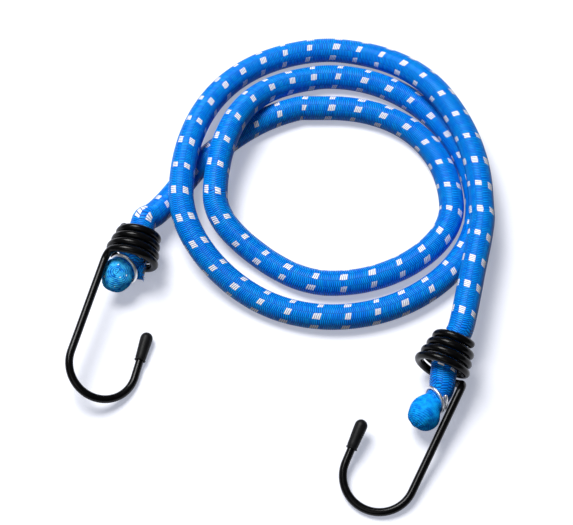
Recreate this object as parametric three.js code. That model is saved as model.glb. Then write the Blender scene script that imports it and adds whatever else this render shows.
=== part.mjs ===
// Bungee cord coiled for storage: an elastic cord with a swivelling wire hook on each folded end.
// Millimetres, +Z up. The coil and both hooks lie on z = 0, with the origin in the middle of the plan.
import * as THREE from 'three';

// Driving dimensions of the cord: a braided sheath over a rubber core
const cordDiameter = 10;
const sheathWall = 1.4;
const coreClearance = 0.3;
const cordSides = 10;
const lengthGap = 0.3;
const restFlat = cordDiameter / 10;

// Driving dimensions of the coil, read clockwise from its back: back, right, front, left
const coilCentre = new THREE.Vector2(19, 25);
const innerBack = 46.9;
const innerRight = 48.9;
const innerFront = 36;
const innerLeft = 47;
const middleGap = [5.8, 0.6, 4.9, 3.6];
const outerBackGap = 3.9;
// How far the middle of each quarter turn stands out of an ellipse, as a share of its reach
const coilBow = [0.025, -0.02, -0.095, 0, -0.005, -0.01, -0.025, 0.015, -0.026];
const crossingGap = 0.8;
const stepsPerQuarter = 6;
// Quarter turns at which the coil passes over the left tail, and over how many it climbs and falls
const humps = [
  { at: 3.32, climb: 0.95, fall: 0.6 },
  { at: 7.05, climb: 0.85, fall: 0.85 },
];
// Quarter turns between which the last arc climbs onto the middle loop
const lastRise = { from: 8.05, to: 8.6 };

// Driving dimensions of the wire hooks
const wireDiameter = 3.1;
const wireSides = 8;
const coneTurns = 3.95;
const conePitch = 3.6;
const coneClearance = 0.45;
const mouthRadius = 9.9;
const stepsPerTurn = 12;
const cornerRadius = 4.5;
const cornerSteps = 4;
const shankSteps = 4;
const throatWidth = 23.9;
const bendSteps = 14;

// Driving dimensions of the vinyl tip caps
const capLength = 12;
const capOverhang = 1.4;
const capClearance = 0.25;
const capWall = 0.45;
const capBulge = 0.2;
const capSides = 16;

// Driving dimensions of the folded ends and their steel crimp rings
const leadLength = 0.8;
const knobRadius = 6.5;
const neckRadius = 4.4;
const neckLength = 12;
const neckSlant = 0.55;
const tuckLength = 4;
const legGap = 0.5;
const bightSteps = 8;
const ringWire = 1.4;
const ringClearance = 0.3;
const ringPitch = 2.3;
const ringSetback = 1.7;
const ringTurns = 1.3;
const ringSteps = 26;
const ringSides = 6;

// The two ends: where the cone's mouth is, which way the hook points and how each piece is turned
const ends = {
  left: {
    mouth: new THREE.Vector2(-61, -5.15),
    heading: 15.6,
    bendHeight: 8.9,
    hookRoll: 153.2,
    hookReach: 57.3,
    bendAngle: 182,
    pointLength: 17.5,
    foldRoll: -45,
    neckShift: -1.6,
    knobShift: -1.7,
    clipAt: 3.2,
    bightAt: 6.7,
  },
  right: {
    mouth: new THREE.Vector2(58.95, -52.8),
    heading: 26.8,
    bendHeight: 1.6,
    hookRoll: -2,
    hookReach: 59.6,
    bendAngle: 176.8,
    pointLength: 16.1,
    foldRoll: -60,
    neckShift: 1.9,
    knobShift: 1.4,
    clipAt: 10,
    bightAt: 16.8,
  },
};

// Sizes that follow from the driving dimensions
const cordRadius = cordDiameter / 2;
const coreRadius = cordRadius - sheathWall - coreClearance;
const floorHeight = cordRadius - restFlat;
const crossingRise = cordDiameter + crossingGap;
const wireRadius = wireDiameter / 2;
const coneStartRadius = cordRadius + coneClearance + wireRadius;
const coneLength = conePitch * coneTurns;
const bendRadius = (throatWidth + wireDiameter) / 2;
const innerReach = [innerBack, innerRight, innerFront, innerLeft];
const middleReach = innerReach.map((reach, side) => reach + cordDiameter + middleGap[side]);
const outerReach = [middleReach[0] + cordDiameter + outerBackGap, middleReach[1]];
const coilReach = [...innerReach, ...middleReach, ...outerReach];

// Points that the tails pass between the coil and the hooks; the left one climbs to its cone
const tailClimb = [2, 5.6];
const leftTailPoints = [
  [-5.8, 67.4, floorHeight],
  [-18.7, 59.4, floorHeight],
  [-35.4, 43.8, floorHeight],
  [-41.6, 35.3, floorHeight],
  [-47.9, 24.8, floorHeight + tailClimb[0]],
  [-52.6, 17.1, floorHeight + tailClimb[1]],
];
const rightTailPoints = [
  [77, 4, floorHeight + crossingRise],
  [73.9, -9.2, floorHeight + crossingRise],
];
const tailLead = 2;
const tailSteps = { left: 14, right: 8 };

// Finishes
const sheathFinish = new THREE.MeshStandardMaterial({ color: 0x0f78e0, roughness: 0.7, metalness: 0 });
const coreFinish = new THREE.MeshStandardMaterial({ color: 0xd8c69c, roughness: 0.8, metalness: 0 });
const wireFinish = new THREE.MeshStandardMaterial({ color: 0x0c0c0e, roughness: 0.35, metalness: 0 });
const capFinish = new THREE.MeshStandardMaterial({ color: 0x1a1a1c, roughness: 0.75, metalness: 0 });
const steelFinish = new THREE.MeshStandardMaterial({ color: 0xb9bcc0, roughness: 0.3, metalness: 1 });

// Joins rows of vertex numbers into triangles: each quad is given by its corners, seen from outside.
function quad(faces, a, b, c, d) {
  faces.push(a, b, d, b, c, d);
}

function geometryOf(points, faces) {
  const geometry = new THREE.BufferGeometry().setFromPoints(points);
  geometry.setIndex(faces);
  geometry.computeVertexNormals();
  return geometry;
}

// A closed bar through rings of points that run anticlockwise when seen from the far end.
function bar(rings) {
  const sides = rings[0].length;
  const last = (rings.length - 1) * sides;
  const faces = [];
  for (let row = 0; row < last; row += sides) {
    for (let j = 0; j < sides; j++) {
      const next = (j + 1) % sides;
      quad(faces, row + j, row + next, row + sides + next, row + sides + j);
    }
  }
  for (let j = 1; j < sides - 1; j++) {
    faces.push(0, j + 1, j);
    faces.push(last, last + j, last + j + 1);
  }
  return geometryOf(rings.flat(), faces);
}

// A pipe, open from end to end, between outer and inner rings.
function pipe(outer, inner) {
  const sides = outer[0].length;
  const bore = outer.length * sides;
  const last = bore - sides;
  const faces = [];
  for (let j = 0; j < sides; j++) {
    const next = (j + 1) % sides;
    for (let row = 0; row < last; row += sides) {
      quad(faces, row + j, row + next, row + sides + next, row + sides + j);
      quad(faces, bore + row + next, bore + row + j, bore + row + sides + j, bore + row + sides + next);
    }
    quad(faces, next, j, bore + j, bore + next);
    quad(faces, last + j, last + next, bore + last + next, bore + last + j);
  }
  return geometryOf([...outer.flat(), ...inner.flat()], faces);
}

// The directions of a path at its points; the end directions are given where they have to be exact.
function directionsOf(points, first, last) {
  return points.map((point, i) => {
    if (i === 0 && first) return first.clone();
    if (i === points.length - 1 && last) return last.clone();
    const before = points[Math.max(i - 1, 0)];
    const after = points[Math.min(i + 1, points.length - 1)];
    return after.clone().sub(before).normalize();
  });
}

// Angles round a section, with a flat side underneath.
function sectionAngles(sides) {
  return Array.from({ length: sides }, (_, j) => -Math.PI / 2 + ((j + 0.5) * 2 * Math.PI) / sides);
}

// Round rings along a path that keeps one side up. Nothing reaches below the surface it lies on.
function lyingRings(points, directions, radius) {
  const up = new THREE.Vector3(0, 0, 1);
  return points.map((point, i) => {
    const side = up.clone().cross(directions[i]).normalize();
    const top = directions[i].clone().cross(side);
    return sectionAngles(cordSides).map((angle) => {
      const corner = point.clone();
      corner.addScaledVector(side, radius * Math.cos(angle));
      corner.addScaledVector(top, radius * Math.sin(angle));
      corner.z = Math.max(corner.z, 0);
      return corner;
    });
  });
}

// Round rings along a path that winds any way, turned as little as possible from one to the next.
function wireRings(points, radius, sides) {
  const directions = directionsOf(points);
  const side = new THREE.Vector3(0, 0, 1).cross(directions[0]).normalize();
  return points.map((point, i) => {
    side.addScaledVector(directions[i], -side.dot(directions[i])).normalize();
    const top = directions[i].clone().cross(side);
    return sectionAngles(sides).map((angle) => {
      const corner = point.clone();
      corner.addScaledVector(side, radius * Math.cos(angle));
      return corner.addScaledVector(top, radius * Math.sin(angle));
    });
  });
}

// The least clear gap between turns of a tube, from points that are more than a tube's turn apart.
function leastGap(points, diameter, skip) {
  let least = Infinity;
  for (let i = 0; i < points.length; i++) {
    for (let j = i + skip; j < points.length; j++) {
      least = Math.min(least, points[i].distanceTo(points[j]) - diameter);
    }
  }
  return least;
}

// Coil

function coilHeight(quarter) {
  let height = floorHeight;
  for (const hump of humps) {
    const length = quarter < hump.at ? hump.climb : hump.fall;
    const away = Math.min(1, Math.abs(quarter - hump.at) / length);
    height += (crossingRise * (1 + Math.cos(Math.PI * away))) / 2;
  }
  return height + crossingRise * THREE.MathUtils.smoothstep(quarter, lastRise.from, lastRise.to);
}

// Each quarter turn is a quarter of an ellipse between one reach and the next, bowed out or in.
function coilPoint(quarter) {
  const k = Math.min(Math.floor(quarter), coilReach.length - 2);
  const angle = ((quarter - k) * Math.PI) / 2;
  const bow = 1 + coilBow[k] * Math.sin(2 * angle) ** 2;
  const plan = coilCentre.clone();
  plan.addScaledVector(coilSides[k % 4], bow * coilReach[k] * Math.cos(angle));
  plan.addScaledVector(coilSides[(k + 1) % 4], bow * coilReach[k + 1] * Math.sin(angle));
  return new THREE.Vector3(plan.x, plan.y, coilHeight(quarter));
}

// The coil's middle line, with a straight lead of one diameter at each end.
function coilPath(steps) {
  const quarters = coilReach.length - 1;
  const turns = Array.from({ length: quarters * steps + 1 }, (_, i) => coilPoint(i / steps));
  const start = turns[0].clone().addScaledVector(coilStartDirection, -cordDiameter);
  const end = turns.at(-1).clone().addScaledVector(coilEndDirection, cordDiameter);
  return [start, ...turns, end];
}

const coilSides = [
  new THREE.Vector2(0, 1),
  new THREE.Vector2(1, 0),
  new THREE.Vector2(0, -1),
  new THREE.Vector2(-1, 0),
];
const coilStartDirection = new THREE.Vector3(1, 0, 0);
const coilEndDirection = new THREE.Vector3(0, -1, 0);

// A length of cord: the sheath as a pipe and the core as a bar inside it.
function cordLength(name, points, first, last) {
  const directions = directionsOf(points, first, last);
  const outer = lyingRings(points, directions, cordRadius);
  const bore = lyingRings(points, directions, cordRadius - sheathWall);
  const core = lyingRings(points, directions, coreRadius);
  return [
    named(`${name}_sheath`, pipe(outer, bore), sheathFinish),
    named(`${name}_rubber_core`, bar(core), coreFinish),
  ];
}

function named(name, geometry, material) {
  const mesh = new THREE.Mesh(geometry, material);
  mesh.name = name;
  return mesh;
}

// Ends of the cord

// Right-handed axes of an end: x to its right, z along the hook and away from the cord.
function endAxes(end) {
  const mouthHeight = mouthRadius + wireRadius;
  const heading = THREE.MathUtils.degToRad(end.heading);
  const pitch = Math.asin((mouthHeight - end.bendHeight) / end.hookReach);
  const ahead = new THREE.Vector3(-Math.sin(heading), -Math.cos(heading), 0);
  const along = ahead.clone().multiplyScalar(Math.cos(pitch));
  along.z = -Math.sin(pitch);
  const right = new THREE.Vector3(Math.cos(heading), -Math.sin(heading), 0);
  const up = along.clone().cross(right);
  const mouth = new THREE.Vector3(end.mouth.x, end.mouth.y, mouthHeight);
  return { along, right, up, mouth };
}

// Where the cord's free tail meets the straight length that runs through the cone.
function tailEnd(end) {
  const { along, mouth } = endAxes(end);
  return mouth.clone().addScaledVector(along, -(coneLength + wireRadius + leadLength + lengthGap));
}

// Half of a round bundle: the section of one leg of the fold, flat on the side of the other leg.
function legSection(radius, flat) {
  const half = cordSides / 2;
  const corner = Math.acos(-flat / radius);
  return Array.from({ length: cordSides }, (_, j) => {
    if (j < half) {
      return [-flat, radius * Math.sin(corner) * ((2 * (j + 1)) / (half + 1) - 1)];
    }
    const angle = THREE.MathUtils.lerp(corner, 2 * Math.PI - corner, (j - half) / (half - 1));
    return [radius * Math.cos(angle), radius * Math.sin(angle)];
  });
}

function roundSection(radius) {
  return sectionAngles(cordSides).map((angle) => [radius * Math.cos(angle), radius * Math.sin(angle)]);
}

function mixedSection(from, to, share) {
  return from.map(([across, out], j) => [
    THREE.MathUtils.lerp(across, to[j][0], share),
    THREE.MathUtils.lerp(out, to[j][1], share),
  ]);
}

// The rings of a folded end: straight through the cone, into the crimp ring, round the bight and back.
// The inset is how far the surface lies inside the cord's outside.
function foldRings(end, inset) {
  const flat = legGap / 2 + inset;
  const full = legSection(knobRadius - inset, flat);
  const squeezed = legSection(neckRadius - inset, flat);
  const plain = roundSection(cordRadius - inset);
  const start = -(coneLength + wireRadius + leadLength);
  const swell = (end.bightAt + end.clipAt) / 2;
  const neck = [
    { at: end.clipAt - tuckLength, section: squeezed, slant: neckSlant },
    { at: end.clipAt, section: squeezed, slant: neckSlant },
    { at: swell, section: mixedSection(squeezed, full, 0.7), slant: neckSlant / 2 },
  ];
  const tapered = (back, share) => ({
    at: end.clipAt - back * neckLength,
    section: mixedSection(plain, squeezed, share),
    slant: share * neckSlant,
  });
  const first = { at: start, section: plain, slant: 0 };
  const straight = [first, tapered(1, 0), tapered(0.7, 0.3), tapered(0.5, 0.8), ...neck];
  const rings = straight.map(({ at, section, slant }) =>
    section.map(([x, y]) => new THREE.Vector3(x, y, at + slant * x)),
  );
  for (let i = 0; i <= bightSteps; i++) {
    const turn = (Math.PI * i) / bightSteps;
    rings.push(
      full.map(([x, y]) => new THREE.Vector3(x * Math.cos(turn), y, end.bightAt - x * Math.sin(turn))),
    );
  }
  for (const { at, section, slant } of neck.reverse()) {
    rings.push(section.map(([x, y]) => new THREE.Vector3(-x, y, at - slant * x)));
  }
  return rings.map((ring) => ring.map((point) => settled(point, end)));
}

// Turns a point of the fold about the cone's axis and shifts it to one side beyond the cone.
function settled(point, end) {
  const neck = THREE.MathUtils.smoothstep(point.z, end.clipAt - neckLength, end.clipAt - tuckLength);
  const knob = THREE.MathUtils.smoothstep(point.z, end.clipAt, end.bightAt);
  const shift = THREE.MathUtils.lerp(end.neckShift * neck, end.knobShift, knob);
  point.applyAxisAngle(new THREE.Vector3(0, 0, 1), THREE.MathUtils.degToRad(end.foldRoll));
  point.x += shift;
  return point;
}

function foldedEnd(name, end) {
  const outer = foldRings(end, 0);
  const bore = foldRings(end, sheathWall);
  const core = foldRings(end, sheathWall + coreClearance);
  return [
    named(`${name}_folded_end_sheath`, pipe(outer, bore), sheathFinish),
    named(`${name}_folded_end_rubber_core`, bar(core), coreFinish),
  ];
}

// The crimp ring is a length of steel wire wound once and a bit round both legs of the fold.
function crimpRing(name, end) {
  const radius = neckRadius + ringClearance + ringWire / 2;
  const points = Array.from({ length: ringSteps + 1 }, (_, i) => {
    const turns = (ringTurns * i) / ringSteps;
    const angle = turns * 2 * Math.PI;
    const x = radius * Math.cos(angle);
    const climb = ringPitch * (turns - ringTurns / 2) - ringSetback;
    return settled(new THREE.Vector3(x, radius * Math.sin(angle), end.clipAt + climb + neckSlant * x), end);
  });
  return named(`${name}_crimp_ring`, bar(wireRings(points, ringWire / 2, ringSides)), steelFinish);
}

// Hooks

// The wire's middle line: x towards the shank, z along the hook from the cone's mouth.
function hookPath(end) {
  const points = [];
  const cornerAngle = cornerRadius / mouthRadius;
  const coneAngle = coneTurns * 2 * Math.PI - cornerAngle;
  const coneSteps = Math.round(stepsPerTurn * coneTurns);
  const spread = (mouthRadius - coneStartRadius) / (coneTurns * 2 * Math.PI);
  const wind = (angle, z) => {
    const radius = coneStartRadius + spread * angle;
    const place = angle - coneTurns * 2 * Math.PI;
    points.push(new THREE.Vector3(radius * Math.cos(place), radius * Math.sin(place), z));
  };
  const coneHeight = (angle) => -coneLength + (conePitch * angle) / (2 * Math.PI);
  for (let i = 0; i <= coneSteps; i++) {
    const angle = (coneAngle * i) / coneSteps;
    wind(angle, coneHeight(angle));
  }
  // The corner from the last turn into the shank, rolled round the cone's mouth
  for (let i = 1; i <= cornerSteps; i++) {
    const turn = (Math.PI / 2) * (i / cornerSteps);
    const drop = cornerRadius * (1 - Math.cos(turn));
    wind(coneAngle + cornerAngle * Math.sin(turn), coneHeight(coneAngle) + drop);
  }
  const shank = points.at(-1).clone();
  const down = new THREE.Vector3(0, 0, 1);
  const inward = new THREE.Vector3(-1, 0, 0);
  const shankLength = end.hookReach - bendRadius - shank.z;
  for (let i = 1; i <= shankSteps; i++) {
    points.push(shank.clone().addScaledVector(down, (shankLength * i) / shankSteps));
  }
  const centre = points.at(-1).clone().addScaledVector(inward, bendRadius);
  const bendAngle = THREE.MathUtils.degToRad(end.bendAngle);
  for (let i = 1; i <= bendSteps; i++) {
    const turn = (bendAngle * i) / bendSteps;
    const point = centre.clone().addScaledVector(inward, -bendRadius * Math.cos(turn));
    points.push(point.addScaledVector(down, bendRadius * Math.sin(turn)));
  }
  const outward = inward.clone().multiplyScalar(Math.sin(bendAngle));
  outward.addScaledVector(down, Math.cos(bendAngle));
  const tip = points.at(-1).clone().addScaledVector(outward, end.pointLength);
  const rim = tip.clone().addScaledVector(outward, capOverhang - capLength);
  points.push(rim.clone(), tip);
  return { points, rim, outward };
}

// The cap is a blind sleeve that swells towards its rounded tip.
function capProfile() {
  const bore = wireRadius + capClearance;
  const rimRadius = bore + capWall;
  const tipRadius = rimRadius + capBulge;
  const boreDepth = capLength - capOverhang + capClearance;
  const shoulder = capLength - tipRadius;
  const profile = [
    new THREE.Vector2(0, boreDepth),
    new THREE.Vector2(bore, boreDepth),
    new THREE.Vector2(bore, 0),
    new THREE.Vector2(rimRadius, 0),
    new THREE.Vector2(tipRadius, shoulder),
  ];
  const domeSteps = 4;
  for (let i = 1; i < domeSteps; i++) {
    const turn = (Math.PI / 2) * (i / domeSteps);
    profile.push(new THREE.Vector2(tipRadius * Math.cos(turn), shoulder + tipRadius * Math.sin(turn)));
  }
  profile.push(new THREE.Vector2(0, capLength));
  return profile;
}

function hook(name, end) {
  const { points, rim, outward } = hookPath(end);
  const wire = named(`${name}_wire_hook`, bar(wireRings(points, wireRadius, wireSides)), wireFinish);
  const cap = named(`${name}_tip_cap`, new THREE.LatheGeometry(capProfile(), capSides), capFinish);
  cap.position.copy(rim);
  cap.quaternion.setFromUnitVectors(new THREE.Vector3(0, 1, 0), outward);
  const coneGap = leastGap(points.slice(0, stepsPerTurn * coneTurns), wireDiameter, stepsPerTurn / 2);
  console.log(`${name} hook: least gap between turns ${coneGap.toFixed(2)} mm`);
  const turned = new THREE.Group().add(wire, cap);
  turned.rotation.z = THREE.MathUtils.degToRad(end.hookRoll);
  return turned;
}

function cordEnd(name, end) {
  const { along, right, up, mouth } = endAxes(end);
  const group = new THREE.Group().add(...foldedEnd(name, end), crimpRing(name, end), hook(name, end));
  group.applyMatrix4(new THREE.Matrix4().makeBasis(right, up, along).setPosition(mouth));
  return group;
}

// A tail runs from the coil to the cone, leaving each of them straight.
function tail(name, end, from, fromDirection, between) {
  const { along } = endAxes(end);
  const meets = tailEnd(end);
  const start = from.clone().addScaledVector(fromDirection, lengthGap);
  const curve = new THREE.CatmullRomCurve3([
    start,
    start.clone().addScaledVector(fromDirection, tailLead),
    ...between.map((point) => new THREE.Vector3(...point)),
    meets.clone().addScaledVector(along, -tailLead),
    meets,
  ]);
  return cordLength(`${name}_tail`, curve.getSpacedPoints(tailSteps[name]), fromDirection, along);
}

const coil = coilPath(stepsPerQuarter);
const fineCoil = coilPath(4 * stepsPerQuarter);
const coilGap = leastGap(fineCoil, cordDiameter, 8 * stepsPerQuarter);
console.log(`coil: least gap between turns ${coilGap.toFixed(2)} mm`);

const bungee = new THREE.Group();
bungee.add(
  ...cordLength('coil', coil, coilStartDirection, coilEndDirection),
  ...tail('left', ends.left, coil[0], coilStartDirection.clone().negate(), leftTailPoints),
  ...tail('right', ends.right, coil.at(-1), coilEndDirection, rightTailPoints),
  cordEnd('left', ends.left),
  cordEnd('right', ends.right),
);

export default bungee;
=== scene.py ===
"""Looks of a coiled bungee cord: braided cord, folded ends, crimp rings, coated wire hooks and tip caps."""
import math

import bpy
import numpy as np
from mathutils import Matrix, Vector


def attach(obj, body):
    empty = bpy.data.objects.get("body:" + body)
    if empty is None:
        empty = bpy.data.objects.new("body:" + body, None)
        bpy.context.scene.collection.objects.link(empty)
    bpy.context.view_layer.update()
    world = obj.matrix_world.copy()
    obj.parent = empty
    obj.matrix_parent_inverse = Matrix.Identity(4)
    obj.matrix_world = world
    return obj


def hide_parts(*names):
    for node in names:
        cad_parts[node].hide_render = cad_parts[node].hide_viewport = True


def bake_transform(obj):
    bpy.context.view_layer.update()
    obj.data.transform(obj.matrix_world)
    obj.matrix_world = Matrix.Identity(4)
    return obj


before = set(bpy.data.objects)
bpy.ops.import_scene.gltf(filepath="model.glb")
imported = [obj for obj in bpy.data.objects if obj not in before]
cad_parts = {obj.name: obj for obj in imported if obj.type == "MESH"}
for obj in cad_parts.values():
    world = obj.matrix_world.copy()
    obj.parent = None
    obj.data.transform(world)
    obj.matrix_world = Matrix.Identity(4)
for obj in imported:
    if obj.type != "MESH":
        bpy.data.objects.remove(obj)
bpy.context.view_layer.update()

# Camera: height, distance and lens fitted to the photograph's view
CAMERA_ELEVATION = math.radians(62)
CAMERA_DISTANCE = 0.640
CAMERA_LENS = 100
SENSOR_WIDTH = 36
LOOK_AT = Vector((0.0007, 0.00045, 0))

# Cord and its braid
CORD_RADIUS = 0.005
REST_FLAT = 0.001
FLOOR_HEIGHT = CORD_RADIUS - REST_FLAT
CROSSING_GAP = 0.0008
CROSSING_RISE = 2 * CORD_RADIUS + CROSSING_GAP
BRAID_COLUMNS = 12
STEPS_PER_COLUMN = 3
RIB_PITCH = 0.000765
STEPS_PER_RIB = 4
RIB_HEIGHT = 0.00020
GROOVE_DEPTH = 0.00005
RELIEF_MIDDLE = 0.6
RIB_LEAN = 0.45
FLECK_EVERY = 15
FLECK_RIBS = 3
FLECK_LEAN = 0.85
FLECK_SHIFT = 0.65
# Degrees that the braid is turned about the cord at these quarter turns of the coil
BRAID_TURN = {0: 16, 2: -15, 4: 15, 6: 20, 8: 0}

# Coil, read clockwise from its back: back, right, front, left
COIL_CENTRE = np.array([0.019, 0.025])
COIL_SIDES = np.array([[0, 1], [1, 0], [0, -1], [-1, 0]])
INNER_REACH = [0.0469, 0.0489, 0.0360, 0.0470]
MIDDLE_REACH = [0.0627, 0.0595, 0.0509, 0.0606]
OUTER_REACH = [0.0766, 0.0595]
COIL_REACH = np.array(INNER_REACH + MIDDLE_REACH + OUTER_REACH)
# How far the middle of each quarter turn stands out of an ellipse, as a share of its reach
COIL_BOW = np.array([0.025, -0.02, -0.095, 0, -0.005, -0.01, -0.025, 0.015, -0.026])
# Where the coil passes over the left tail, and over how many quarter turns it climbs and falls
HUMPS = [(3.32, 0.95, 0.6), (7.05, 0.85, 0.85)]
LAST_RISE = (8.05, 8.6)
SEAM_QUARTER = 5
STEPS_PER_QUARTER = 160
LEAD = 2 * CORD_RADIUS

# Tails between the coil and the hooks
LEFT_TAIL = [
    (-0.0058, 0.0674, 0.0040),
    (-0.0187, 0.0594, 0.0040),
    (-0.0354, 0.0438, 0.0040),
    (-0.0416, 0.0353, 0.0040),
    (-0.0479, 0.0248, 0.0060),
    (-0.0526, 0.0171, 0.0096),
]
RIGHT_TAIL = [
    (0.0770, 0.0040, 0.0148),
    (0.0739, -0.0092, 0.0148),
]
TAIL_LEAD = 0.0023

# Wire hooks
WIRE_RADIUS = 0.00155
CONE_TURNS = 3.95
CONE_PITCH = 0.0036
CONE_LENGTH = CONE_TURNS * CONE_PITCH
CONE_GAP = 0.00045
CONE_START = CORD_RADIUS + CONE_GAP + WIRE_RADIUS
MOUTH_RADIUS = 0.0099
MOUTH_HEIGHT = MOUTH_RADIUS + WIRE_RADIUS
CORNER_RADIUS = 0.0045
THROAT_WIDTH = 0.0239
BEND_RADIUS = THROAT_WIDTH / 2 + WIRE_RADIUS
WIRE_SIDES = 20
CONE_STEPS = 200
CORNER_STEPS = 14
SHANK_STEPS = 30
BEND_STEPS = 60
POINT_STEPS = 20
# Rounding of a cut wire: the share taken off its section, and over how many radii
CUT_ROUND = 0.75
CUT_LENGTH = 0.5

# The folds stay inside the circle that the shank swings round
SHANK_GAP = 0.00006
SHANK_CLEAR = MOUTH_RADIUS - WIRE_RADIUS - SHANK_GAP

# Tip caps
CAP_LENGTH = 0.012
CAP_OVERHANG = 0.0014
CAP_RIM = 0.00225
CAP_TIP = 0.00245
CAP_SIDES = 32
CAP_STEPS = 12
CAP_LIP = 0.00028
CAP_LIP_STEPS = 9
CAP_POINT = 0.00005
CAP_WAIST = 0.00012
CAP_WAIST_AT = 2.2 * CAP_LIP
CAP_INSIDE = (0.0012, 0.0002)

# Folded ends and crimp rings
CONE_BACK = CONE_LENGTH + WIRE_RADIUS
CORD_MEETS_FOLD = 0.008
TAIL_CLEAR = 0.0011
TAIL_MEETS_CONE = CONE_BACK + TAIL_CLEAR
FOLD_STEP = 0.0002
FOLD_RELIEF = 0.5
KNOB_ROWS = 110
# A knob's first and last ring lie this angle off its poles, and each ring starts square to this direction
KNOB_POLE = 0.02
KNOB_ASIDE = (1, 0.3, 0)
KNOB_RIB_PITCH = 0.00085
KNOB_WANDER = (0.35, 0.2)
KNOB_LUMPS = (0.022, 0.02)
# Share by which the side of a knob that lies behind its ring is drawn up to it
KNOB_BEHIND = 0.6
LEG_FADE = 0.0022
LEG_TAPER = (0.6, 1.0)
CORE_SHARE = 0.62
CORE_SIDES = 40
CORE_STRANDS = 9
CORE_FLUTE = 0.06
# Places along the core's end, out of the cut, and its share of full width there
CORE_END = [(-0.0020, 1.0), (0.0001, 1.0), (0.0003, 0.93), (0.0004, 0.7), (0.00043, 0.3)]
THREADS = 72
THREAD_RADIUS = 0.00013
THREAD_STEPS = 6
THREAD_SIDES = 5
THREAD_DEPTH = 0.0006
THREAD_SCATTER = 0.4
THREAD_ROOT = (0.74, 0.98)
THREAD_LENGTH = (0.0008, 0.0017)
THREAD_SPLAY = (-0.2, 0.8)
THREAD_TAPER = 0.5
THREAD_SEED = 7
WHITE_EVERY = 6
RING_TURNS = 1.3
RING_STEPS = 150
RING_SIDES = 16
SPUR_TURNS = 0.12

# Floor and light
FLOOR_HALF = 3.0
FLOOR_DROP = 0.0001
FLOOR_BOUNCE = (0.10, 0.10, 0.11, 1)
FLOOR_SEEN = (0.66, 0.66, 0.68, 1)
FLOOR_GLOW = (0.78, 0.83, 1, 1)
FLOOR_GLOW_STRENGTH = 0.44
SKY_STRENGTH = 0.05
KEY_LIGHT = dict(place=(-0.36, 0.44, 1.1), size=(0.6, 0.6), power=20.2)
FILL_LIGHT = dict(place=(-0.3, -0.6, 0.8), size=(0.6, 0.6), power=1.2)

# Limits for numbers and smooth shading
TINY = 1e-9
COLUMN_EDGE = 1e-6
SHARP_ANGLE = math.radians(50)

# The two ends. A fold's places are in the end's own axes: right, up and along the hook, from the mouth.
ENDS = {
    "left": dict(
        mouth=(-0.0610, -0.00515), heading=15.6, bend_height=0.0089,
        hook_roll=153.2, hook_reach=0.0573, bend_angle=182, point_length=0.0175,
        leg=[(0, 0, -0.008), (0, -0.0002, -0.0052), (-0.0002, -0.0012, -0.0028), (-0.0009, -0.0024, -0.0004),
             (-0.0018, -0.0025, 0.0020), (-0.0026, -0.0022, 0.0044)],
        leg_radius=(0.0050, 0.0038), leg_rib=11,
        knob_at=(-0.0037, -0.0024, 0.0058), knob_size=(0.0067, 0.0060, 0.0071),
        pear=0.0, swirl=(0.2, 1.0, 0.2), knob_ribs=0.7, knob_pale=0.9,
        ring_at=(-0.0019, -0.0022, 0.0030), ring_axis=(-0.36, 0.48, 0.80), ring_radius=0.0060,
        ring_wire=0.0007, ring_start=-144, ring_pitch=0.0014, ring_spur=0.0,
        neck=0.0050, neck_fade=0.0022,
        stub=[(-0.0010, -0.0034, 0.0026), (0.0016, -0.0038, 0.0018), (0.0056, -0.0039, 0.0011)],
        stub_radius=0.0035, stub_flat=0.78,
    ),
    "right": dict(
        mouth=(0.05895, -0.0528), heading=26.8, bend_height=0.0016,
        hook_roll=-2, hook_reach=0.0596, bend_angle=176.8, point_length=0.0161,
        leg=[(0, 0, -0.008), (0.0003, 0, -0.004), (0.0015, -0.0001, 0), (0.0028, -0.0006, 0.0040),
             (0.0033, -0.0015, 0.0074), (0.0027, -0.0011, 0.0100), (0.0019, -0.0003, 0.0125)],
        leg_radius=(0.0050, 0.0038), leg_rib=7,
        knob_at=(0.0018, 0.0002, 0.0173), knob_size=(0.0063, 0.0062, 0.0062),
        pear=0.32, swirl=(-0.2, 0.25, 0.95), knob_ribs=0.3, knob_pale=0.0,
        ring_at=(0.0029, -0.0010, 0.0102), ring_axis=(-0.46, 0.37, 0.807), ring_radius=0.0052,
        ring_wire=0.00065, ring_start=-34, ring_pitch=-0.0017, ring_spur=0.0009,
        neck=0.0045, neck_fade=0.0052,
        stub=[(0.0032, -0.0034, 0.0118), (0.0038, -0.0038, 0.0090), (0.0040, -0.0040, 0.0060),
              (0.0041, -0.0040, 0.0036)],
        stub_radius=0.0030, stub_flat=1.0,
    ),
}


def make_camera():
    data = bpy.data.cameras.new("camera")
    data.lens = CAMERA_LENS
    data.sensor_width = SENSOR_WIDTH
    camera = bpy.data.objects.new("camera", data)
    back = Vector((0, -math.cos(CAMERA_ELEVATION), math.sin(CAMERA_ELEVATION)))
    camera.location = LOOK_AT + back * CAMERA_DISTANCE
    camera.rotation_euler = (math.pi / 2 - CAMERA_ELEVATION, 0, 0)
    bpy.context.scene.collection.objects.link(camera)
    bpy.context.scene.camera = camera


# Lines

def smoothstep(value, low, high):
    share = np.clip((value - low) / (high - low), 0, 1)
    return share * share * (3 - 2 * share)


def unit(vectors):
    vectors = np.asarray(vectors, float)
    return vectors / np.linalg.norm(vectors, axis=-1, keepdims=True)


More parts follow.
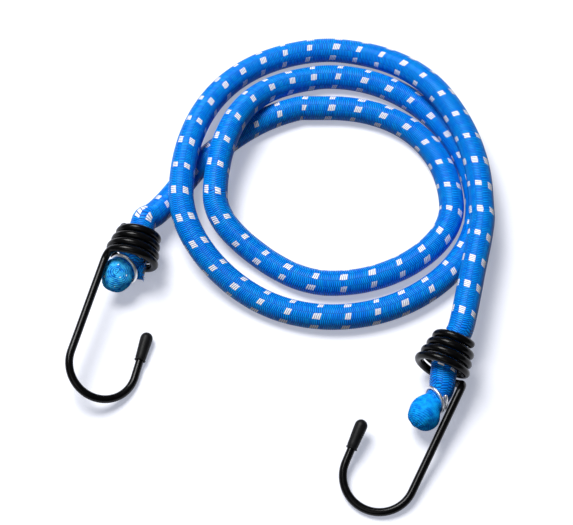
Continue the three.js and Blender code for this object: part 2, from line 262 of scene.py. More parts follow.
def through(points, steps=40):
    """A smooth line through given points, with its bends shared by the distances between them."""
    points = np.array(points, float)
    first = 2 * points[0] - points[1]
    last = 2 * points[-1] - points[-2]
    points = np.vstack([first, points, last])
    line = []
    for p0, p1, p2, p3 in zip(points, points[1:], points[2:], points[3:]):
        k1 = math.sqrt(np.linalg.norm(p1 - p0))
        k2 = k1 + math.sqrt(np.linalg.norm(p2 - p1))
        k3 = k2 + math.sqrt(np.linalg.norm(p3 - p2))
        t = np.linspace(k1, k2, steps, endpoint=False)[:, None]
        a1 = p0 + (p1 - p0) * t / k1
        a2 = p1 + (p2 - p1) * (t - k1) / (k2 - k1)
        a3 = p2 + (p3 - p2) * (t - k2) / (k3 - k2)
        b1 = a1 + (a2 - a1) * t / k2
        b2 = a2 + (a3 - a2) * (t - k1) / (k3 - k1)
        line.append(b1 + (b2 - b1) * (t - k1) / (k2 - k1))
    return np.vstack([*line, points[-2]])


def lengths_along(line):
    return np.concatenate([[0], np.cumsum(np.linalg.norm(np.diff(line, axis=0), axis=1))])


def even(line, step):
    """The same line with points one step apart, and how far along it each of them is."""
    lengths = lengths_along(line)
    keep = np.concatenate([[True], np.diff(lengths) > TINY])
    along = np.arange(0, lengths[-1], step)
    spaced = [np.interp(along, lengths[keep], line[keep, k]) for k in range(3)]
    return np.stack(spaced, axis=1), along


def directions_of(line):
    return unit(np.gradient(line, axis=0))


def coil_line(quarters):
    """The coil at these quarter turns: each quarter is part of an ellipse from one reach to the next."""
    k = np.minimum(quarters.astype(int), len(COIL_REACH) - 2)
    angle = (quarters - k) * math.pi / 2
    bow = 1 + COIL_BOW[k] * np.sin(2 * angle) ** 2
    plan = COIL_CENTRE + (bow * COIL_REACH[k] * np.cos(angle))[:, None] * COIL_SIDES[k % 4]
    plan = plan + (bow * COIL_REACH[k + 1] * np.sin(angle))[:, None] * COIL_SIDES[(k + 1) % 4]
    height = FLOOR_HEIGHT + CROSSING_RISE * smoothstep(quarters, *LAST_RISE)
    for at, climb, fall in HUMPS:
        length = np.where(quarters < at, climb, fall)
        away = np.minimum(1, np.abs(quarters - at) / length)
        height = height + CROSSING_RISE * (1 + np.cos(math.pi * away)) / 2
    return np.column_stack([plan, height])


def end_axes(end):
    """Axes of an end: right, up and along the hook away from the cord, and the middle of its mouth."""
    heading = math.radians(end["heading"])
    pitch = math.asin((MOUTH_HEIGHT - end["bend_height"]) / end["hook_reach"])
    flat = math.cos(pitch)
    along = np.array([-math.sin(heading) * flat, -math.cos(heading) * flat, -math.sin(pitch)])
    right = np.array([math.cos(heading), -math.sin(heading), 0])
    return right, np.cross(along, right), along, np.array([*end["mouth"], MOUTH_HEIGHT])


def placed(points, end, roll=0):
    """Points in an end's own axes, turned about the hook's axis and put in place."""
    right, up, along, mouth = end_axes(end)
    turn = math.radians(roll)
    x = points[..., 0:1] * math.cos(turn) - points[..., 1:2] * math.sin(turn)
    y = points[..., 0:1] * math.sin(turn) + points[..., 1:2] * math.cos(turn)
    return mouth + x * right + y * up + points[..., 2:3] * along


def tail_line(end, start, start_direction, between):
    """From the coil through the tail's points, then straight into the cone."""
    _, _, along, mouth = end_axes(end)
    meets = mouth - along * TAIL_MEETS_CONE
    points = [start, start + start_direction * TAIL_LEAD, *between, meets - along * TAIL_LEAD, meets]
    return np.vstack([through(points), mouth - along * CORD_MEETS_FOLD])


# Meshes

def mesh_object(name, vertices, faces, materials, face_materials=None, corner_uv=None):
    mesh = bpy.data.meshes.new(name)
    mesh.from_pydata(vertices.tolist(), [], faces)
    for material in materials:
        mesh.materials.append(material)
    mesh.polygons.foreach_set("use_smooth", [True] * len(mesh.polygons))
    if face_materials is not None:
        mesh.polygons.foreach_set("material_index", face_materials)
    if corner_uv is not None:
        layer = mesh.uv_layers.new(name="braid")
        layer.uv.foreach_set("vector", np.asarray(corner_uv, np.float32).ravel())
    mesh.set_sharp_from_angle(angle=SHARP_ANGLE)
    mesh.update()
    made = bpy.data.objects.new(name, mesh)
    bpy.context.scene.collection.objects.link(made)
    return made


def tube_faces(rows, sides, offset=0):
    """Quads between rows of points that go round once each, and a face over each end."""
    row = np.arange(rows - 1)[:, None] * sides + offset
    j = np.arange(sides)[None, :]
    following = (j + 1) % sides
    quads = np.stack([row + j, row + following, row + sides + following, row + sides + j], axis=-1)
    near = list(range(offset + sides - 1, offset - 1, -1))
    far = list(range(offset + (rows - 1) * sides, offset + rows * sides))
    return [*quads.reshape(-1, 4).tolist(), near, far]


def tube_uv(ribs, columns):
    """Corner coordinates of a braided tube: ribs along it and braid columns round it."""
    ribs = np.broadcast_to(ribs.reshape(len(ribs), -1), (len(ribs), len(columns)))
    grid = np.stack([ribs, np.broadcast_to(columns, ribs.shape)], axis=-1)
    quads = np.stack([grid[:-1, :-1], grid[:-1, 1:], grid[1:, 1:], grid[1:, :-1]], axis=2)
    near = grid[0, -2::-1]
    far = grid[-1, :-1]
    return np.vstack([quads.reshape(-1, 2), near, far])


def joined_tubes(name, tubes, materials, face_materials=None, corner_uv=None):
    """Several closed tubes as one object, each with its own material number."""
    faces = []
    count = 0
    for rings in tubes:
        rows, sides = rings.shape[:2]
        faces.extend(tube_faces(rows, sides, count))
        count += rows * sides
    vertices = np.vstack([rings.reshape(-1, 3) for rings in tubes])
    return mesh_object(name, vertices, faces, materials, face_materials, corner_uv)


def tube_face_count(rings):
    rows, sides = rings.shape[:2]
    return (rows - 1) * sides + 2


def braid_columns():
    return np.linspace(0, BRAID_COLUMNS, BRAID_COLUMNS * STEPS_PER_COLUMN + 1)


def braid_relief(ribs, columns):
    """Height of the braid's stitches: slanted ribs in columns, every second column shifted by half a rib."""
    column = np.floor(columns + COLUMN_EDGE)
    across = columns - column - 0.5 + 0.5 / STEPS_PER_COLUMN
    odd = column % 2
    phase = ribs[:, None] + RIB_LEAN * across * (1 - 2 * odd) + 0.5 * odd
    rib = RIB_HEIGHT * (np.abs(np.sin(math.pi * phase)) - RELIEF_MIDDLE)
    groove = GROOVE_DEPTH * (RELIEF_MIDDLE - (2 * across) ** 2)
    return rib + groove


def braid_rings(points, ribs, radius, up, flat=1.0, turned=0.0, relief=1.0):
    """Rings of points round a braided tube that keeps one side up."""
    forward = directions_of(points)
    side = unit(np.cross(up, forward))
    top = np.cross(forward, side)
    columns = braid_columns()[:-1]
    turn = np.broadcast_to(turned, len(points))[:, None]
    angle = -math.pi / 2 + columns / BRAID_COLUMNS * 2 * math.pi + turn
    size = np.broadcast_to(radius, len(points))[:, None] + relief * braid_relief(ribs, columns)
    across = size * np.cos(angle)
    out = flat * size * np.sin(angle)
    return points[:, None] + across[..., None] * side[:, None] + out[..., None] * top[:, None]


def braided_cord(name, line, quarters, first_rib, material):
    """A length of braided cord along a line that lies on the floor or on other turns."""
    points, along = even(line, RIB_PITCH / STEPS_PER_RIB)
    ribs = first_rib + along / RIB_PITCH
    turned = np.radians(np.interp(quarters, list(BRAID_TURN), list(BRAID_TURN.values())))
    turned = np.interp(along, lengths_along(line), turned)
    rings = braid_rings(points, ribs, CORD_RADIUS, (0, 0, 1), turned=turned)
    rings[..., 2] = np.maximum(rings[..., 2], 0)
    return joined_tubes(name, [rings], [material], None, tube_uv(ribs, braid_columns())), points


def wire_rings(line, radius, sides):
    """Round rings along a line that winds any way, turned as little as possible from one to the next."""
    forward = directions_of(line)
    angle = np.linspace(0, 2 * math.pi, sides, endpoint=False)
    side = unit(np.cross([0, 0, 1], forward[0]))
    radius = np.broadcast_to(radius, len(line))
    rings = []
    for point, ahead, size in zip(line, forward, radius):
        side = unit(side - ahead * (side @ ahead))
        top = np.cross(ahead, side)
        rings.append(point + size * (np.cos(angle)[:, None] * side + np.sin(angle)[:, None] * top))
    return np.array(rings)


def rounded_ends(line, radius):
    """The radius along a wire whose cut ends are slightly rounded."""
    lengths = lengths_along(line)
    from_end = np.minimum(lengths, lengths[-1] - lengths)
    full = np.clip(from_end / (CUT_LENGTH * radius), 0, 1)
    return radius * np.sqrt(1 - CUT_ROUND * (1 - full) ** 2)


def wire(name, line, radius, sides, material):
    return joined_tubes(name, [wire_rings(line, rounded_ends(line, radius), sides)], [material])


# Hooks

def hook_line(end):
    """The wire's middle line: x towards the shank, z along the hook from the cone's mouth."""
    full = CONE_TURNS * 2 * math.pi
    corner_angle = CORNER_RADIUS / MOUTH_RADIUS
    cone_angle = full - corner_angle
    angle = np.linspace(0, cone_angle, CONE_STEPS)
    height = -CONE_LENGTH + CONE_PITCH * angle / (2 * math.pi)
    turn = np.linspace(0, math.pi / 2, CORNER_STEPS)[1:]
    angle = np.concatenate([angle, cone_angle + corner_angle * np.sin(turn)])
    height = np.concatenate([height, height[-1] + CORNER_RADIUS * (1 - np.cos(turn))])
    radius = CONE_START + (MOUTH_RADIUS - CONE_START) * angle / full
    cone = np.column_stack([radius * np.cos(angle - full), radius * np.sin(angle - full), height])
    shank = cone[-1]
    bend_at = end["hook_reach"] - BEND_RADIUS
    drop = np.linspace(shank[2], bend_at, SHANK_STEPS)[1:]
    straight = np.column_stack([np.full(len(drop), shank[0]), np.full(len(drop), shank[1]), drop])
    bend = math.radians(end["bend_angle"])
    turn = np.linspace(0, bend, BEND_STEPS)[1:]
    centre = shank[0] - BEND_RADIUS
    curve = np.column_stack([
        centre + BEND_RADIUS * np.cos(turn),
        np.full(len(turn), shank[1]),
        bend_at + BEND_RADIUS * np.sin(turn),
    ])
    outward = np.array([-math.sin(bend), 0, math.cos(bend)])
    point = curve[-1] + np.linspace(0, end["point_length"], POINT_STEPS)[1:, None] * outward
    return np.vstack([cone, straight, curve, point]), outward


def cap_profile():
    """Radius and place along the cap, from inside its rim over the lip to the rounded tip."""
    turn = np.linspace(-math.pi / 2, math.pi / 2, CAP_LIP_STEPS)
    rim = np.column_stack([CAP_RIM - CAP_LIP + CAP_LIP * np.cos(turn), CAP_LIP + CAP_LIP * np.sin(turn)])
    inside = np.array([[WIRE_RADIUS, depth] for depth in CAP_INSIDE])
    shoulder = CAP_LENGTH - CAP_TIP
    share = np.linspace(0, 1, CAP_STEPS)[1:]
    swell = CAP_RIM - CAP_WAIST + (CAP_TIP - CAP_RIM + CAP_WAIST) * smoothstep(share, 0, 1)
    sleeve = np.column_stack([swell, CAP_WAIST_AT + (shoulder - CAP_WAIST_AT) * share])
    dome = np.linspace(0, math.pi / 2, CAP_STEPS)[1:]
    tip = np.column_stack([CAP_TIP * np.cos(dome), shoulder + CAP_TIP * np.sin(dome)])
    tip[-1, 0] = CAP_POINT
    return np.vstack([inside, rim, sleeve, tip])


def tip_cap(name, end, tip, outward, material):
    profile = cap_profile()
    across = np.array([outward[2], 0, -outward[0]])
    other = np.cross(outward, across)
    rim = tip + outward * (CAP_OVERHANG - CAP_LENGTH)
    angle = np.linspace(0, 2 * math.pi, CAP_SIDES, endpoint=False)
    round_ = np.cos(angle)[:, None] * across + np.sin(angle)[:, None] * other
    rings = rim + profile[:, 1, None, None] * outward + profile[:, 0, None, None] * round_
    return joined_tubes(name, [placed(rings, end, end["hook_roll"])], [material])


# Folded ends

def inside_shank(points, limit=SHANK_CLEAR):
    """Points in an end's own axes, pulled in so that the hook's shank can swing past them."""
    reach = np.hypot(points[..., 0], points[..., 1])
    share = np.minimum(1, limit / np.maximum(reach, TINY))[..., None]
    return points * np.concatenate([share, share, np.ones_like(share)], axis=-1)


def neck_in(points, end, fade):
    """Points of the fold, pulled in near the crimp ring, and how far beyond the ring each one is."""
    axis = unit(end["ring_axis"])
    ring = np.array(end["ring_at"])
    beyond = (points - ring) @ axis
    foot = ring + beyond[..., None] * axis
    out = points - foot
    distance = np.linalg.norm(out, axis=-1)
    squeeze = 1 - smoothstep(np.abs(beyond), 0, fade)
    narrowed = distance + (np.minimum(distance, end["neck"]) - distance) * squeeze
    return foot + out * (narrowed / distance)[..., None], beyond


def fold_leg(end):
    """The leg that comes straight through the cone and runs into the ring."""
    points, along = even(through(end["leg"]), FOLD_STEP)
    wide, narrow = end["leg_radius"]
    radius = wide + (narrow - wide) * smoothstep(along / along[-1], *LEG_TAPER)
    ribs = end["leg_rib"] + along / RIB_PITCH
    rings, _ = neck_in(braid_rings(points, ribs, radius, (0, 1, 0), relief=FOLD_RELIEF), end, LEG_FADE)
    return rings, ribs


def fold_stub(end):
    """The short leg that comes back out of the ring, pressed flat and cut off."""
    points, along = even(through(end["stub"]), FOLD_STEP)
    ribs = along / RIB_PITCH
    rings = braid_rings(points, ribs, end["stub_radius"], (0, 1, 0), end["stub_flat"], relief=FOLD_RELIEF)
    return inside_shank(rings), ribs


def fold_knob(end):
    """The bight drawn tight: a lumpy ball, ribbed in rings, that narrows to a neck in the crimp ring."""
    middle = np.array(end["knob_at"])
    size = np.array(end["knob_size"])
    to_ring = unit(np.array(end["ring_at"]) - middle)
    pole = unit(end["swirl"])
    across = unit(np.cross(pole, KNOB_ASIDE))
    other = np.cross(across, pole)
    fall = np.linspace(KNOB_POLE, math.pi - KNOB_POLE, KNOB_ROWS)[:, None]
    turn = (braid_columns() / BRAID_COLUMNS * 2 * math.pi)[None, :]
    ribs = fall * size.mean() / KNOB_RIB_PITCH + KNOB_WANDER[0] * np.sin(2 * turn + 2 * fall)
    ribs = ribs + KNOB_WANDER[1] * np.sin(3 * turn - 3 * fall)
    rib = RIB_HEIGHT * (np.abs(np.sin(math.pi * ribs)) - RELIEF_MIDDLE)
    lumps = KNOB_LUMPS[0] * np.sin(3 * turn + 1) * np.sin(2 * fall)
    lumps = lumps + KNOB_LUMPS[1] * np.sin(5 * turn + 4 * fall)
    round_ = np.cos(turn)[..., None] * across + np.sin(turn)[..., None] * other
    direction = np.cos(fall)[..., None] * pole + np.sin(fall)[..., None] * round_
    reach = 1 + end["pear"] * np.maximum(0, direction @ to_ring) ** 2 + lumps + rib / size.mean()
    rings, beyond = neck_in(middle + direction * reach[..., None] * size, end, end["neck_fade"])
    behind = np.minimum(beyond, 0)[..., None] * unit(end["ring_axis"])
    return inside_shank(rings - KNOB_BEHIND * behind)[:, :-1], ribs


def folded_end(name, end, flecked, plain):
    """The leg, the knob and the stub of a fold as one piece of braid."""
    parts = [fold_leg(end), fold_knob(end), fold_stub(end)]
    tubes = [placed(rings, end) for rings, _ in parts]
    uv = np.vstack([tube_uv(ribs, braid_columns()) for _, ribs in parts])
    counts = [tube_face_count(rings) for rings in tubes]
    numbers = np.repeat([0, 1, 0], counts)
    return joined_tubes(name, tubes, [flecked, plain], numbers, uv)


def cut_frame(end):
    """The middle of the stub's cut and the directions out of it, across it and up it."""
    line = through(end["stub"])
    forward = unit(line[-1] - line[-4])
    side = unit(np.cross((0, 1, 0), forward))
    return line[-1], forward, side, end["stub_flat"] * np.cross(forward, side)


def core_end(name, end, material):
    """The rubber that shows in the fold's cut end, standing a little out of the sheath."""
    cut, forward, side, top = cut_frame(end)
    turn = np.linspace(0, 2 * math.pi, CORE_SIDES, endpoint=False)
    round_ = np.cos(turn)[:, None] * side + np.sin(turn)[:, None] * top
    strands = 1 + CORE_FLUTE * np.abs(np.sin(CORE_STRANDS / 2 * turn))[:, None]
    radius = CORE_SHARE * end["stub_radius"]
    full = round_ * strands * radius
    rings = np.array([cut + forward * ahead + full * share for ahead, share in CORE_END])
    return joined_tubes(name, [placed(rings, end)], [material])


def frayed_end(name, end, pale, blue):
    """Loose threads of the cut sheath, standing out round the core."""
    cut, forward, side, top = cut_frame(end)
    random = np.random.default_rng(THREAD_SEED)
    share = np.linspace(0, 1, THREAD_STEPS)[:, None]
    radius = THREAD_RADIUS * (1 - THREAD_TAPER * share[:, 0])
    threads = []
    for number in range(THREADS):
        turn = 2 * math.pi * (number + random.uniform(-THREAD_SCATTER, THREAD_SCATTER)) / THREADS
        outward = math.cos(turn) * side + math.sin(turn) * top
        root = cut + outward * end["stub_radius"] * random.uniform(*THREAD_ROOT) - forward * THREAD_DEPTH
        length = random.uniform(*THREAD_LENGTH)
        splay = random.uniform(*THREAD_SPLAY)
        line = root + length * share * forward + length * splay * share ** 2 * outward
        line = inside_shank(line, SHANK_CLEAR - THREAD_RADIUS)
        threads.append(placed(wire_rings(line, radius, THREAD_SIDES), end))
    counts = [tube_face_count(rings) for rings in threads]
    numbers = np.repeat([number % WHITE_EVERY > 0 for number in range(THREADS)], counts).astype(int)
    return joined_tubes(name, threads, [pale, blue], numbers)


def crimp_ring(name, end, material):
    """Steel wire closed once and a bit round both legs of the fold."""
    axis = unit(end["ring_axis"])
    across = unit(np.cross((0, 1, 0), axis))
    other = np.cross(axis, across)
    turns = np.linspace(0, RING_TURNS, RING_STEPS)[:, None]
    angle = math.radians(end["ring_start"]) + turns * 2 * math.pi
    spur = end["ring_spur"] * smoothstep(turns, RING_TURNS - SPUR_TURNS, RING_TURNS)
    radius = end["ring_radius"] + spur
    line = np.array(end["ring_at"]) + radius * (np.cos(angle) * across + np.sin(angle) * other)
    line = line + axis * end["ring_pitch"] * (turns - RING_TURNS / 2)
    line = inside_shank(line, SHANK_CLEAR - end["ring_wire"])
    return wire(name, placed(line, end), end["ring_wire"], RING_SIDES, material)


# Materials

class Shading:
    """A material's nodes, made one after another and joined as they are made."""

    def __init__(self, name):
        self.material = bpy.data.materials.new(name)
        self.material.use_nodes = True
        self.tree = self.material.node_tree
        self.surface = self.tree.nodes["Principled BSDF"]

    def node(self, kind, **settings):
        made = self.tree.nodes.new(kind)
        for key, value in settings.items():
            setattr(made, key, value)
        return made

    def join(self, value, socket):
        if isinstance(value, bpy.types.NodeSocket):
            self.tree.links.new(value, socket)
        else:
            socket.default_value = value

    def math(self, operation, first, second=0.0, third=0.0):
        made = self.node("ShaderNodeMath", operation=operation)
        for value, socket in zip((first, second, third), made.inputs):
            self.join(value, socket)
        return made.outputs[0]

    def rise(self, value, low, high):
        """A smooth step from 0 to 1 as the value goes from low to high."""
        made = self.node("ShaderNodeMapRange", interpolation_type="SMOOTHSTEP")
        self.join(value, made.inputs["Value"])
        self.join(low, made.inputs["From Min"])
        self.join(high, made.inputs["From Max"])
        return made.outputs["Result"]

    def between(self, share, low, high):
        """A number that goes from low to high as the share goes from 0 to 1."""
        return self.math("MULTIPLY_ADD", share, high - low, low)

    def mix(self, share, first, second):
        made = self.node("ShaderNodeMix", data_type="RGBA")
        self.join(share, made.inputs["Factor"])
        self.join(first, made.inputs[6])
        self.join(second, made.inputs[7])
        return made.outputs[2]

    def noise(self, scale, detail=2.0):
        place = self.node("ShaderNodeTexCoord")
        made = self.node("ShaderNodeTexNoise")
        self.join(place.outputs["Object"], made.inputs["Vector"])
        self.join(scale, made.inputs["Scale"])
        self.join(detail, made.inputs["Detail"])
        return made.outputs["Fac"]

    def bump(self, height, distance, strength):
        made = self.node("ShaderNodeBump")
        self.join(strength, made.inputs["Strength"])
        self.join(distance, made.inputs["Distance"])
        self.join(height, made.inputs["Height"])
        self.join(made.outputs["Normal"], self.surface.inputs["Normal"])

    def set(self, **values):
        for name, value in values.items():
            self.join(value, self.surface.inputs[name.replace("_", " ")])


# Colours, each as red, green, blue and opacity
SHEATH_PALE = (0.05, 0.54, 1.0, 1)
SHEATH_BRIGHT = (0.004, 0.40, 1.0, 1)
SHEATH_BLUE = (0.0006, 0.165, 0.90, 1)
SHEATH_DEEP = (0.0008, 0.20, 0.82, 1)
# Painted shade: the dark blue that the grooves of the braid and the knobs are mixed towards
GROOVE_PAINTED_SHADE = (0.0002, 0.024, 0.25, 1)
FLECK_WHITE = (0.90, 0.90, 0.94, 1)
FLECK_SHADE = (0.55, 0.58, 0.70, 1)
WIRE_BLACK = (0.0012, 0.0012, 0.0015, 1)
WIRE_WORN = (0.004, 0.004, 0.0045, 1)
VINYL_BLACK = (0.003, 0.003, 0.0035, 1)
VINYL_WORN = (0.009, 0.009, 0.010, 1)
STEEL_GREY = (0.70, 0.71, 0.73, 1)
STEEL_BRIGHT = (0.93, 0.93, 0.94, 1)
RUBBER_DARK = (0.25, 0.20, 0.13, 1)
RUBBER_CREAM = (0.62, 0.54, 0.40, 1)

# Shares in the braid's colour: chance from stitch to stitch, and how far the grooves are darkened with
# painted shade
STITCH_LUCK = 0.55
PAINTED_SHADE_SHARE = 0.95
# Half the width of a fleck's stroke, in braid columns, and how much less it can be
FLECK_HALF_WIDTH = 0.53
FLECK_UNEVEN = 0.1


def braid_material():
    """Blue ribbed braid with rings of white flecks, each of a few slanted stitches, and painted shade
    darkening the grooves between ribs and between columns.
    """
    s = Shading("braided_sheath")
    place = s.node("ShaderNodeUVMap", uv_map="braid")
    split = s.node("ShaderNodeSeparateXYZ")
    s.join(place.outputs["UV"], split.inputs[0])
    ribs, columns = split.outputs[0], split.outputs[1]
    column = s.math("FLOOR", columns)
    across = s.math("SUBTRACT", s.math("FRACT", columns), 0.5)
    odd = s.math("MODULO", column, 2.0)
    lean = s.math("MULTIPLY", s.math("MULTIPLY", across, RIB_LEAN), s.math("MULTIPLY_ADD", odd, -2.0, 1.0))
    phase = s.math("ADD", s.math("ADD", ribs, lean), s.math("MULTIPLY", odd, 0.5))
    stitch = s.math("FLOOR", phase)
    within = s.math("ABSOLUTE", s.math("MULTIPLY_ADD", s.math("FRACT", phase), 2.0, -1.0))
    chance = s.node("ShaderNodeTexWhiteNoise", noise_dimensions="2D")
    pair = s.node("ShaderNodeCombineXYZ")
    s.join(stitch, pair.inputs[0])
    s.join(column, pair.inputs[1])
    s.join(pair.outputs[0], chance.inputs["Vector"])
    luck = chance.outputs["Value"]
    off_middle = s.math("ABSOLUTE", across)
    # The grooves between ribs and between columns: they take the painted shade below and the bump
    between_columns = s.math("MULTIPLY", s.rise(off_middle, low=0.40, high=0.5), 0.5)
    valley = s.math("MAXIMUM", s.rise(within, low=0.35, high=1.0), between_columns)
    cloudy = s.math("MULTIPLY", s.noise(scale=160.0), 1 - STITCH_LUCK)
    patches = s.math("MULTIPLY_ADD", luck, STITCH_LUCK, cloudy)
    blue = s.mix(patches, SHEATH_BRIGHT, SHEATH_BLUE)
    # Painted shade: the grooves between ribs and between columns are darkened towards a dark blue
    colour = s.mix(s.math("MULTIPLY", valley, PAINTED_SHADE_SHARE), blue, GROOVE_PAINTED_SHADE)
    slanted = s.math("MULTIPLY_ADD", across, FLECK_LEAN, ribs)
    stroke = s.math("ABSOLUTE", s.math("MULTIPLY_ADD", s.math("FRACT", slanted), 2.0, -1.0))
    shift = s.math("FLOOR", s.math("MULTIPLY", column, FLECK_SHIFT))
    in_row = s.math("ADD", s.math("FLOOR", slanted), shift)
    place_in_row = s.math("FLOORED_MODULO", in_row, float(FLECK_EVERY))
    marked = s.math("LESS_THAN", place_in_row, s.math("ADD", luck, FLECK_RIBS - 0.5))
    half_width = s.math("MULTIPLY_ADD", luck, -FLECK_UNEVEN, FLECK_HALF_WIDTH)
    thread = s.math("MULTIPLY", s.math("SUBTRACT", 1.0, s.rise(stroke, low=0.62, high=0.92)), marked)
    thread = s.math("MULTIPLY", thread, s.math("LESS_THAN", off_middle, half_width))
    colour = s.mix(s.math("MULTIPLY", thread, s.math("SUBTRACT", 1.0, odd)), colour, FLECK_WHITE)
    s.set(Base_Color=colour, Roughness=0.34)
    s.surface.inputs["Specular IOR Level"].default_value = 0.09
    s.bump(s.math("SUBTRACT", 1.0, valley), distance=0.00012, strength=0.6)
    return s.material


def knob_material(name, rib_share, pale_share):
    """Braid drawn tight over the bight: mottled blue, ribbed in rings with painted shade in the grooves
    between them, and some pale broken threads.
    """
    s = Shading(name)
    place = s.node("ShaderNodeUVMap", uv_map="braid")
    split = s.node("ShaderNodeSeparateXYZ")
    s.join(place.outputs["UV"], split.inputs[0])
    within = s.math("ABSOLUTE", s.math("MULTIPLY_ADD", s.math("FRACT", split.outputs[0]), 2.0, -1.0))
    uneven = s.rise(s.noise(scale=260.0), low=0.38, high=0.6)
    groove = s.math("MULTIPLY", s.rise(within, low=0.2, high=1.0), rib_share)
    valley = s.math("MULTIPLY", groove, uneven)
    patches = s.rise(s.noise(scale=520.0, detail=3.0), low=0.35, high=0.72)
    light = SHEATH_PALE if pale_share else SHEATH_BRIGHT
    blue = s.mix(patches, light, SHEATH_DEEP)
    # Painted shade: the grooves between the knob's rib rings are darkened towards a dark blue
    colour = s.mix(valley, blue, GROOVE_PAINTED_SHADE)
    specks = s.rise(s.noise(scale=700.0, detail=1.0), low=0.715, high=0.75)
    broken = s.math("MULTIPLY", specks, pale_share)
    s.set(Base_Color=s.mix(broken, colour, FLECK_WHITE), Roughness=0.6)
    s.surface.inputs["Specular IOR Level"].default_value = 0.05
    s.bump(s.math("SUBTRACT", s.noise(scale=1600.0), valley), distance=0.0002, strength=0.7)
    return s.material


def thread_material(name, colour, shade):
    """Loose fibre, uneven along its length."""
    s = Shading(name)
    s.set(Base_Color=s.mix(s.noise(scale=2000.0), colour, shade), Roughness=0.8)
    s.surface.inputs["Specular IOR Level"].default_value = 0.1
    return s.material


def coated_wire_material():
    """Semi-gloss black coating with a faint unevenness."""
    s = Shading("coated_wire")
    patches = s.noise(scale=420.0, detail=3.0)
    s.set(Base_Color=s.mix(patches, WIRE_BLACK, WIRE_WORN))
    s.set(Roughness=s.between(patches, low=0.16, high=0.30))
    s.surface.inputs["Specular IOR Level"].default_value = 0.16
    s.bump(s.noise(scale=1500.0), distance=0.00006, strength=0.25)
    return s.material


def vinyl_material():
    """Soft black vinyl, duller than the wire."""
    s = Shading("vinyl")
    patches = s.noise(scale=600.0, detail=3.0)
    s.set(Base_Color=s.mix(patches, VINYL_BLACK, VINYL_WORN))
    s.set(Roughness=s.between(patches, low=0.38, high=0.58))
    s.surface.inputs["Specular IOR Level"].default_value = 0.15
    s.bump(s.noise(scale=2400.0), distance=0.00008, strength=0.35)
    return s.material


def steel_material():
    """Bright zinc-coated steel wire with faint streaks."""
    s = Shading("galvanised_wire")
    patches = s.noise(scale=900.0, detail=4.0)
    s.set(Base_Color=s.mix(patches, STEEL_GREY, STEEL_BRIGHT), Metallic=1.0)
    s.set(Roughness=s.between(patches, low=0.30, high=0.50))
    s.bump(s.noise(scale=3000.0), distance=0.00005, strength=0.3)
    return s.material


def rubber_material():
    """Cream latex strands seen end on."""
    s = Shading("rubber_core")
    strands = s.noise(scale=1300.0)
    s.set(Base_Color=s.mix(strands, RUBBER_DARK, RUBBER_CREAM), Roughness=0.7)
    s.bump(strands, distance=0.0003, strength=0.6)
    return s.material


# Floor and light

def make_floor():
    """A plain white floor. It throws less light back onto the object than the camera sees in it."""
    mesh = bpy.data.meshes.new("floor")
    signs = [(-1, -1), (1, -1), (1, 1), (-1, 1)]
    corners = [(x * FLOOR_HALF, y * FLOOR_HALF, -FLOOR_DROP) for x, y in signs]
    mesh.from_pydata(corners, [], [(0, 1, 2, 3)])
    s = Shading("floor")
    path = s.node("ShaderNodeLightPath")
    seen = s.math("MAXIMUM", path.outputs["Is Camera Ray"], path.outputs["Is Glossy Ray"])
    seen = s.math("MAXIMUM", seen, path.outputs["Is Transmission Ray"])
    s.set(Base_Color=s.mix(seen, FLOOR_BOUNCE, FLOOR_SEEN), Roughness=1.0)
    s.set(Emission_Color=FLOOR_GLOW, Emission_Strength=s.math("MULTIPLY", seen, FLOOR_GLOW_STRENGTH))
    s.surface.inputs["Specular IOR Level"].default_value = 0
    mesh.materials.append(s.material)
    floor = bpy.data.objects.new("floor", mesh)
    bpy.context.scene.collection.objects.link(floor)


def area_light(name, place, size, power):
    data = bpy.data.lights.new(name, "AREA")
    data.shape = "RECTANGLE"
    data.size, data.size_y = size
    data.energy = power
    light = bpy.data.objects.new(name, data)
    light.location = place
    light.rotation_mode = "QUATERNION"
    light.rotation_quaternion = (-Vector(place)).to_track_quat("-Z", "Y")
    bpy.context.scene.collection.objects.link(light)


def make_light():
    world = bpy.data.worlds.new("studio")
    world.use_nodes = True
    sky = world.node_tree.nodes["Background"]
    sky.inputs["Color"].default_value = (1, 1, 1, 1)
    sky.inputs["Strength"].default_value = SKY_STRENGTH
    bpy.context.scene.world = world
    area_light("key", **KEY_LIGHT)
    area_light("fill", **FILL_LIGHT)


def kept(piece, body, slot, *nodes):
    """Ties a piece to the body it moves with and hides the CAD nodes it stands for; the slot is not used."""
    if body:
        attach(piece, body)
    if nodes:
        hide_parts(*nodes)


def length_of(line):
    return float(lengths_along(line)[-1])


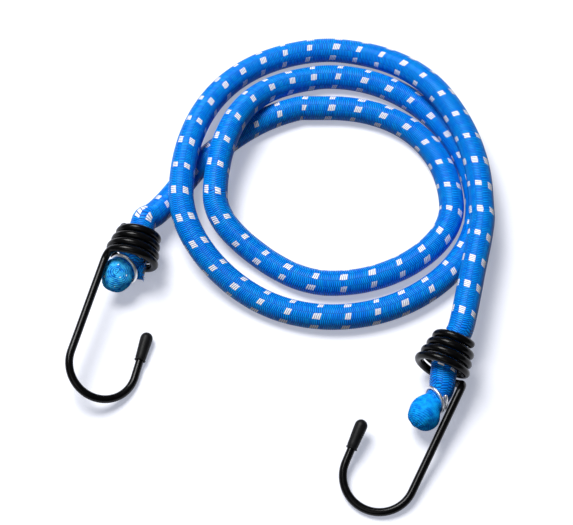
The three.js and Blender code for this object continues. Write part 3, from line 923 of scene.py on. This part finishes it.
def build_cords(braid):
    """The two halves of the cord, which meet end to end in the middle of the coil."""
    left, right = ENDS["left"], ENDS["right"]
    last_quarter = len(COIL_REACH) - 1
    quarters_first = np.linspace(0, SEAM_QUARTER, STEPS_PER_QUARTER * SEAM_QUARTER + 1)
    steps_last = STEPS_PER_QUARTER * (last_quarter - SEAM_QUARTER)
    quarters_last = np.linspace(SEAM_QUARTER, last_quarter, steps_last + 1)
    coil_first = coil_line(quarters_first)
    coil_last = coil_line(quarters_last)
    start = coil_first[0] - np.array([LEAD, 0, 0])
    finish = coil_last[-1] - np.array([0, LEAD, 0])
    left_tail = tail_line(left, start, np.array([-1, 0, 0]), LEFT_TAIL)
    right_tail = tail_line(right, finish, np.array([0, -1, 0]), RIGHT_TAIL)
    left_line = np.vstack([left_tail[::-1], coil_first])
    right_line = np.vstack([coil_last, right_tail])

    left_quarters = np.concatenate([np.zeros(len(left_tail)), quarters_first])
    right_quarters = np.concatenate([quarters_last, np.full(len(right_tail), last_quarter)])

    left_cord, left_path = braided_cord("left_cord", left_line, left_quarters, 0, braid)
    seam_rib = length_of(left_line) / RIB_PITCH
    right_cord, right_path = braided_cord("right_cord", right_line, right_quarters, seam_rib, braid)
    coil_nodes = ["coil_sheath", "coil_rubber_core"]
    kept(left_cord, None, "sheath", "left_tail_sheath", "left_tail_rubber_core", *coil_nodes)
    kept(right_cord, None, "sheath", "right_tail_sheath", "right_tail_rubber_core", *coil_nodes)
    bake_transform(left_cord)
    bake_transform(right_cord)


def build_ends(braid):
    white_thread = thread_material("white_thread", FLECK_WHITE, FLECK_SHADE)
    blue_thread = thread_material("blue_thread", SHEATH_BRIGHT, SHEATH_BLUE)
    black_wire = coated_wire_material()
    vinyl = vinyl_material()
    steel = steel_material()
    rubber = rubber_material()
    for side, end in ENDS.items():
        hook_body, end_body = f"{side}_hook", f"{side}_end"
        line, outward = hook_line(end)
        hook_path = placed(line, end, end["hook_roll"])
        hook = wire(f"{side}_hook_wire", hook_path, WIRE_RADIUS, WIRE_SIDES, black_wire)
        kept(hook, hook_body, "coated_wire", f"{side}_wire_hook")
        cap = tip_cap(f"{side}_vinyl_cap", end, line[-1], outward, vinyl)
        kept(cap, hook_body, "vinyl", f"{side}_tip_cap")
        knob = knob_material(f"{side}_knob_braid", end["knob_ribs"], end["knob_pale"])
        fold = folded_end(f"{side}_fold", end, braid, knob)
        kept(fold, end_body, "sheath", f"{side}_folded_end_sheath")
        core = core_end(f"{side}_fold_core", end, rubber)
        kept(core, end_body, "core", f"{side}_folded_end_rubber_core")
        threads = frayed_end(f"{side}_frayed_threads", end, white_thread, blue_thread)
        kept(threads, end_body, "sheath")
        ring = crimp_ring(f"{side}_steel_ring", end, steel)
        kept(ring, end_body, "galvanised_wire", f"{side}_crimp_ring")


make_camera()
sheath_braid = braid_material()
build_cords(sheath_braid)
build_ends(sheath_braid)
make_floor()
make_light()
bpy.context.scene.view_settings.view_transform = "Standard"
